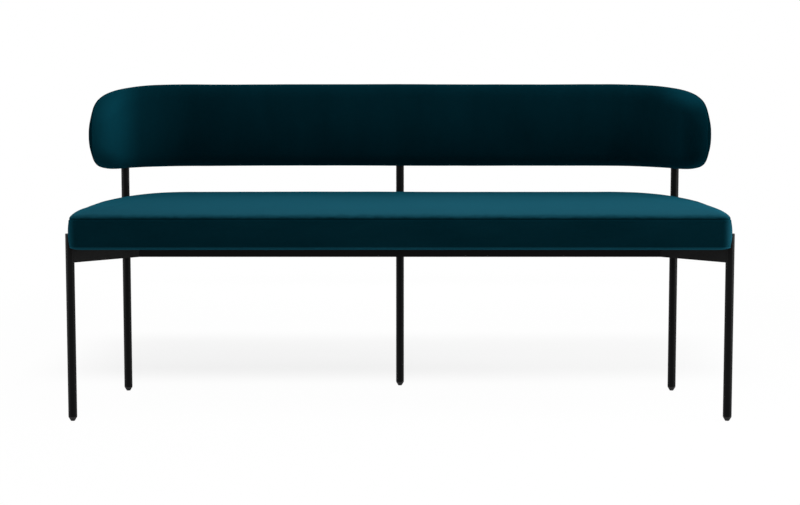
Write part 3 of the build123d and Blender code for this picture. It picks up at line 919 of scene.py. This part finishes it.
    def build(self, stance: Stance, material: Material) -> Object:
        """Make the cushion.

        Args:
            stance: Places of the legs that stand beside it.
            material: Velvet that it wears.

        Returns:
            The cushion.
        """
        recess = self.bottom + self.dust_cover_recess
        edges = (self.flange + self.recess_margin, self.flange + self.recess_slope)
        levels = [(inset, 0.0, recess) for inset in (self.crown_inset, self.recess_inset, *edges)]
        levels += [(inset, 0.0, self.bottom) for inset in (self.flange, *self.flange_insets)]
        levels += self.boxing_levels() + self.crown_levels()
        rings = self.middle_rings(self.crown_inset, recess, False)[::-1]
        for inset, groove, height in levels:
            plan = self.outline(inset, groove)
            if height < self.bottom + self.bottom_rounding:
                plan = self.tuck(inset, plan)
            rings.append(np.column_stack([plan, np.full(len(plan), height)]))
        rings += self.middle_rings(levels[-1][0], levels[-1][2], True)
        cushion = closed_form("seat_cushion", rings)
        self.soften(cushion)
        self.notch(cushion, stance)
        settle(cushion, material)
        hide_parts("seat_foam", "seat_top_panel", "seat_boxing")
        return cushion

    def tuck(self, inset: float, plan: np.ndarray) -> np.ndarray:
        """Square the lower edge over the rear and side bands, and flare it at the corners.

        Args:
            inset: Inset of the ring.
            plan: X and Y of its points.

        Returns:
            The same points, moved outward at the rear.
        """
        rounding = self.bottom_draw_in + self.bottom_rounding
        wide = self.outline(inset - min(inset, rounding) - self.rear_flare)
        near = (self.rear_tuck_reach - self.rear + plan[:, 1]) / self.rear_tuck_fade
        corner = np.abs(plan[:, 0]) - self.half_width + self.rear_corner_run
        share = self.rear_tuck_share
        share = share + (1 - share) * np.clip(corner / self.rear_corner_fade, 0, 1)
        share = share * np.clip(near, 0, 1)
        share = share * np.clip((self.flange - inset) / (self.flange - rounding), 0, 1)
        return plan + (wide - plan) * share[:, None]

    def soften(self, cushion: Object) -> None:
        """Give the cloth its slight unevenness over the foam.

        Args:
            cushion: The cushion, still exact.
        """
        points = read(cushion.data.vertices, "co")
        height = points[:, 2]
        above = np.clip((height - self.bottom - self.bottom_rounding) / self.soften_fade, 0, 1)
        seam = np.exp(-(((height - self.seam) / self.pucker_reach) ** 2))
        cloth = self.broad.over(points) + self.small.over(points)
        push(cushion, above * cloth + seam * self.pucker.over(points))

    def notch(self, cushion: Object, stance: Stance) -> None:
        """Press the cushion's sides in where the front legs stand.

        Args:
            cushion: The cushion.
            stance: Places of the front legs.
        """
        reach = stance.radius + self.notch_clearance
        points = read(cushion.data.vertices, "co")
        lift = np.maximum(points[:, 2] - stance.front_top - self.notch_clearance, 0.0)
        for side, axis in stance.front.items():
            across = points[:, 1] - axis.y
            wall = abs(axis.x) - np.sqrt(np.maximum(reach**2 - across**2, 0.0))
            over = points[:, 0] * side.value - wall
            pressed = (np.abs(across) < reach) & (lift < reach / 2) & (over > 0)
            inward = side.value * over * (1 - 2 * lift / reach)
            points[:, 0] -= np.where(pressed, inward, 0.0)
        move(cushion, points)


@dataclass
class BackrestPad:
    """Curved padded backrest: straight along the back, turning forward at both ends."""

    arc_radius: float = 0.225
    end_reach: float = 0.1385
    tip_height: float = 0.0797
    end_dip: float = 0.0077
    dip_power: int = 6
    top_corner_run: float = 0.36
    bottom_corner_run: float = 0.137
    top_corner_power: float = 3.0
    bottom_corner_power: float = 2.79
    bottom: float = 0.563
    front: float = 0.0505
    back: float = 0.016
    seam: float = 0.0065
    nose_run: float = 0.061
    nose_power: float = 2.3
    heel_run: float = 0.01
    heel_power: int = 2
    front_round_share: float = 0.655
    back_round_share: float = 0.95
    crown_share: float = 0.13
    end_crown: float = 0.0088
    end_loft: float = 0.0004
    crown_power: float = 2.6
    end_power: int = 8
    top_loft: float = 0.0012
    groove_depth: float = 0.0016
    groove_width: float = 0.0045
    groove_power: float = 1.6
    front_points: int = 46
    back_points: int = 30
    turn_points: int = 40
    face_points: int = 60
    near_seam: tuple[float, ...] = (0.0, 0.001, 0.0022, 0.0036, 0.0055, 0.008)
    near_seam_share: float = 0.2
    straight_step: float = 0.013
    arc_step: float = 0.008
    tip_rings: int = 16
    broad: Unevenness = Unevenness((0.2, 0.2, 0.12), 5.1, 0.0009)
    small: Unevenness = Unevenness((0.05, 0.05, 0.05), 17.9, 0.00025)

    def __post_init__(self) -> None:
        """Read the pad's place from the frame."""
        self.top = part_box("backrest_front_cover")[1].z + self.top_loft
        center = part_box("rear_leg_center")
        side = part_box("rear_leg_right")
        line = (center[0].y + center[1].y) / 2
        drop = line - (side[0].y + side[1].y) / 2
        leg_x = (side[0].x + side[1].x) / 2
        chord = math.sqrt(self.arc_radius**2 - (self.arc_radius - drop) ** 2)
        self.straight = leg_x - chord
        self.arc_center = line - self.arc_radius
        turn = math.asin(chord / self.arc_radius)
        self.half_run = self.straight + self.arc_radius * turn + self.end_reach

    def corner(self, run: float, length: float, power: float) -> float:
        """Share of the height or depth left at a run, where the pad's end closes.

        Args:
            run: Distance from the middle, along the pad.
            length: Length over which it closes, up to the tip.
            power: How square the corner is.

        Returns:
            Share from 1, full, to 0, closed.
        """
        start = self.half_run - length
        along = min(max((run - start) / length, 0.0), 1.0)
        return (1 - along**power) ** (1 / power)

    def section(self, run: float) -> np.ndarray:
        """Ring of the section at a run, as offsets and heights.

        Args:
            run: Distance from the middle, along the pad.

        Returns:
            Offset outward from the leg line and height of each point, from the lower seam.
        """
        tip = self.bottom + self.tip_height
        top_share = self.corner(run, self.top_corner_run, self.top_corner_power)
        low_share = self.corner(run, self.bottom_corner_run, self.bottom_corner_power)
        dip = self.end_dip * (run / self.half_run) ** self.dip_power
        high = tip + (self.top - tip) * top_share
        low = tip - (tip - self.bottom + dip) * low_share
        middle, half = (high + low) / 2, (high - low) / 2
        heel = self.corner(run, self.heel_run, self.heel_power)
        near_end = (run / self.half_run) ** self.end_power
        front = self.front * self.corner(run, self.nose_run, self.nose_power)
        back = (self.back - self.seam + self.end_loft * near_end) * heel
        crown = self.end_crown * near_end * heel
        back_round = (back - crown) * self.back_round_share
        before = self.half_section(
            half, front, front * self.front_round_share, front * self.crown_share
        )
        behind = self.half_section(half, back, back_round, crown)
        halves = []
        for side, count, line in ((-1, self.front_points, before), (1, self.back_points, behind)):
            line = line * (side, 1) + (self.seam, middle)
            halves.append(spaced(line, self.stops(count, line)))
        return np.concatenate([halves[0][:-1], halves[1][::-1][:-1]])

    def half_section(
        self, half: float, depth: float, rounding: float, crown: float
    ) -> np.ndarray:
        """Line of half a section: flat end, rounded corner, crowned face and back again.

        Args:
            half: Half the section's height.
            depth: Depth of its face.
            rounding: Radius of its corners.
            crown: Bulge of the face.

        Returns:
            Depth and height of each point, from the bottom to the top.
        """
        radius = min(rounding, half)
        turn = np.linspace(0, QUARTER_TURN, self.turn_points)
        face = np.linspace(0, half - radius, self.face_points)[:-1]
        height = np.concatenate([face, half - radius + radius * np.sin(turn), [half]])
        drop = np.concatenate([np.zeros(len(face)), radius * (1 - np.cos(turn)), [0.0]])
        bulge = crown * (1 - (height / max(half, WELD_DISTANCE)) ** self.crown_power)
        reach = depth - crown + bulge - drop
        reach[-1] = 0.0
        upper = np.stack([reach, height], 1)
        return np.concatenate([upper[::-1] * (1, -1), upper[1:]])

    def stops(self, count: int, line: np.ndarray) -> np.ndarray:
        """Shares along half a section, closer together near the seam at its ends.

        Args:
            count: How many points the half has.
            line: The half's points.

        Returns:
            Shares of the half's length.
        """
        length = max(np.linalg.norm(np.diff(line, axis=0), axis=1).sum(), WELD_DISTANCE)
        steps = len(self.near_seam) - 1
        widest = self.near_seam_share * np.arange(steps + 1) / steps
        close = np.minimum(np.array(self.near_seam) / length, widest)
        inner = np.linspace(close[-1], 1 - close[-1], count - 2 * steps)[1:-1]
        return np.concatenate([close, inner, 1 - close[::-1]])

    def place(self, run: float, section: np.ndarray) -> np.ndarray:
        """Stand a section's points across the pad's line.

        Args:
            run: Distance from the middle, negative at the left end.
            section: Offsets and heights.

        Returns:
            The points in the frame.
        """
        turn = max(abs(run) - self.straight, 0.0) / self.arc_radius
        reach = self.arc_radius + section[:, 0]
        x = min(abs(run), self.straight) + reach * math.sin(turn)
        y = self.arc_center + reach * math.cos(turn)
        return np.stack([math.copysign(1, run) * x, y, section[:, 1]], 1)

    def runs(self) -> np.ndarray:
        """Place the rings along the pad.

        Returns:
            Runs from the left tip to the right one.
        """
        straight = np.arange(0, self.straight, self.straight_step)
        nose = self.half_run - self.nose_run
        arc = np.arange(straight[-1] + self.arc_step, nose, self.arc_step)
        tip = nose + self.nose_run * np.sin(np.linspace(0, QUARTER_TURN, self.tip_rings))
        half = np.concatenate([straight, arc, tip[1:]])
        return np.concatenate([-half[::-1], half[1:]])

    def build(self, material: Material, back_material: Material) -> Object:
        """Make the pad.

        Args:
            material: Velvet of its front cover.
            back_material: Velvet of its back cover, with less sheen.

        Returns:
            The pad.
        """
        rings = [self.place(run, self.section(abs(run))) for run in self.runs()]
        pad = closed_form("backrest_pad", rings)
        self.soften(pad)
        settle(pad, material)
        pad.data.materials.append(back_material)
        behind = self.offset_of(read(pad.data.polygons, "center")) > self.seam
        pad.data.polygons.foreach_set("material_index", behind.astype(np.int32))
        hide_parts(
            "backrest_front_foam", "backrest_back_foam",
            "backrest_front_cover", "backrest_back_cover",
        )
        return pad

    def offset_of(self, points: np.ndarray) -> np.ndarray:
        """Offset of each point from the line through the legs, outward."""
        past = np.maximum(np.abs(points[:, 0]) - self.straight, 0.0)
        return np.hypot(past, points[:, 1] - self.arc_center) - self.arc_radius

    def soften(self, pad: Object) -> None:
        """Sink the seam and give the cloth its slight unevenness.

        Args:
            pad: The pad, still exact.
        """
        points = read(pad.data.vertices, "co")
        distance = np.abs(self.offset_of(points) - self.seam)
        groove = np.clip(1 - distance / self.groove_width, 0, 1) ** self.groove_power
        cloth = self.broad.over(points) + self.small.over(points)
        push(pad, cloth - self.groove_depth * groove)


@dataclass
class SteelFrame:
    """The frame and every other piece whose shape comes ready from the frame."""

    materials: dict[str, Material]

    def dress(self) -> None:
        """Give each carried-over node the material of its slot."""
        for part in frame["record"]["subparts"]:
            for slot in frame["nodes"][part["node"]].material_slots:
                slot.material = self.materials.get(part["material_slot"], slot.material)


@dataclass(frozen=True)
class SoftBox:
    """Area lamp: its place, its width and height, and its power in watts."""

    name: str
    place: Triple
    size: Span
    power: float

    def hang(self, aim: Vector) -> None:
        """Hang the lamp.

        Args:
            aim: Point that it faces.
        """
        data = bpy.data.lights.new(self.name, "AREA")
        data.shape = "RECTANGLE"
        data.size, data.size_y = self.size
        data.energy = self.power
        lamp = stand(self.name, data)
        lamp.location = self.place
        lamp.rotation_euler = (aim - Vector(self.place)).to_track_quat("-Z", "Y").to_euler()


@dataclass
class Studio:
    """Pale floor, white background, soft lamps and the camera."""

    camera_place: Triple = (0.0, -4.25575, 0.78)
    camera_drop: float = 5.55
    lens: float = 80.0
    sensor: float = 36.0
    floor_half: float = 9.0
    floor_color: Color = (0.9, 0.9, 0.9, 1.0)
    ambient: float = 0.08
    shade_center: float = 0.76
    shade_width: Span = (0.7, 1.05)
    shade_run: Span = (0.2, 0.52)
    shade_depth: float = 0.17
    contact_shade_reach: Span = (1.4, 2.4)
    contact_shade_depth: float = 0.02
    aim: Triple = (0.0, 0.0, 0.5)
    soft_boxes: tuple[SoftBox, ...] = (
        SoftBox("overhead", (0.0, -1.1, 2.55), (3.0, 1.3), 36.0),
        SoftBox("front", (0.0, -2.8, 2.2), (2.4, 1.2), 40.0),
        SoftBox("right", (2.2, -0.6, 2.0), (1.2, 1.2), 34.0),
        SoftBox("left_low", (-2.8, -0.6, 0.5), (1.0, 1.0), 20.0),
        SoftBox("back", (0.0, 2.6, 0.65), (2.4, 0.8), 22.0),
        SoftBox("right_low", (2.8, -0.6, 0.5), (1.0, 1.0), 30.0),
    )

    def camera(self) -> None:
        """Stand the camera in front of the bench, looking slightly down."""
        data = bpy.data.cameras.new("camera")
        data.lens = self.lens
        data.sensor_width = self.sensor
        camera = stand("camera", data)
        camera.location = self.camera_place
        camera.rotation_euler = (math.radians(90 - self.camera_drop), 0.0, 0.0)
        bpy.context.scene.camera = camera

    def seen(self, graph: Graph) -> Value:
        """Share of rays that look at the surroundings rather than light from them.

        Args:
            graph: Tree to add the nodes to.

        Returns:
            1 for camera, glossy and transmission rays.
        """
        total = graph.node("LightPath", output="Is Camera Ray")
        for ray in ("Is Glossy Ray", "Is Transmission Ray"):
            total = total + graph.node("LightPath", output=ray)
        return graph.node("Math", {"operation": "MINIMUM"}, {0: total, 1: 1.0})

    def world(self) -> None:
        """Light the bench softly from all round, and show white behind it."""
        world = bpy.data.worlds.new("studio")
        bpy.context.scene.world = world
        graph = Graph(world)
        strength = self.ambient + self.seen(graph) * (1 - self.ambient)
        light = graph.node("Background", None, {"Color": WHITE, "Strength": strength})
        graph.node("OutputWorld", None, {"Surface": light})

    def floor(self) -> None:
        """Lay a pale floor that keeps the bench's shadow, with a painted shadow band behind the
        bench.
        """
        half = self.floor_half
        corners = [(-half, -half, 0), (half, -half, 0), (half, half, 0), (-half, half, 0)]
        mesh = bpy.data.meshes.new("floor")
        mesh.from_pydata(corners, [], [(0, 1, 2, 3)])
        floor = stand("floor", mesh)
        material = bpy.data.materials.new("pale_floor")
        graph = Graph(material)
        matte = graph.node("BsdfDiffuse", None, {"Color": self.floor_color})
        glow = graph.node("Emission", None, {"Color": WHITE, "Strength": 1.0})
        place = graph.stretched(shift=(0.0, -self.shade_center, 0.0))
        across = self.fade(graph, graph.axis(place, "X"), self.shade_width)
        behind = self.fade(graph, graph.axis(place, "Y"), self.shade_run)
        contact_shade = self.fade(graph, graph.length(place), self.contact_shade_reach)
        # Painted shadow: behind the bench, and faintly round it, part of the lit floor shows
        # through the white. Its darkening is the bench's real shadow and the lamps' falloff.
        kept = 1.0 - across * behind * self.shade_depth - contact_shade * self.contact_shade_depth
        share = kept * self.seen(graph)
        mixed = graph.node("MixShader", None, {0: share, 1: matte, 2: glow})
        graph.node("OutputMaterial", None, {"Surface": mixed})
        mesh.materials.append(material)

    @staticmethod
    def fade(graph: Graph, place: Value, span: Span) -> Value:
        """Weight that falls from 1 to 0 over a span of distances, of either sign."""
        size = graph.node("Math", {"operation": "ABSOLUTE"}, {0: place})
        return graph.climb(size, (span[1], span[0]))

    def build(self) -> None:
        """Set up the whole studio."""
        bpy.context.scene.view_settings.view_transform = "Standard"
        self.camera()
        self.world()
        self.floor()
        for lamp in self.soft_boxes:
            lamp.hang(Vector(self.aim))


def main() -> None:
    """Dress the frame, make the soft pieces and set up the studio."""
    logging.basicConfig(level=logging.INFO, format="%(name)s: %(message)s")
    materials = {slot: finish.build() for slot, finish in FINISHES.items()}
    stance = Stance()
    SteelFrame(materials).dress()
    LOG.info("dressed %d nodes", len(frame["nodes"]))
    for piece in (
        SeatCushion().build(stance, materials["velvet_seat"]),
        BackrestPad().build(materials["velvet_back"], BACK_COVER.build()),
    ):
        LOG.info("%s: %d vertices", piece.name, len(piece.data.vertices))
    Studio().build()


if __name__ == "__main__":
    main()
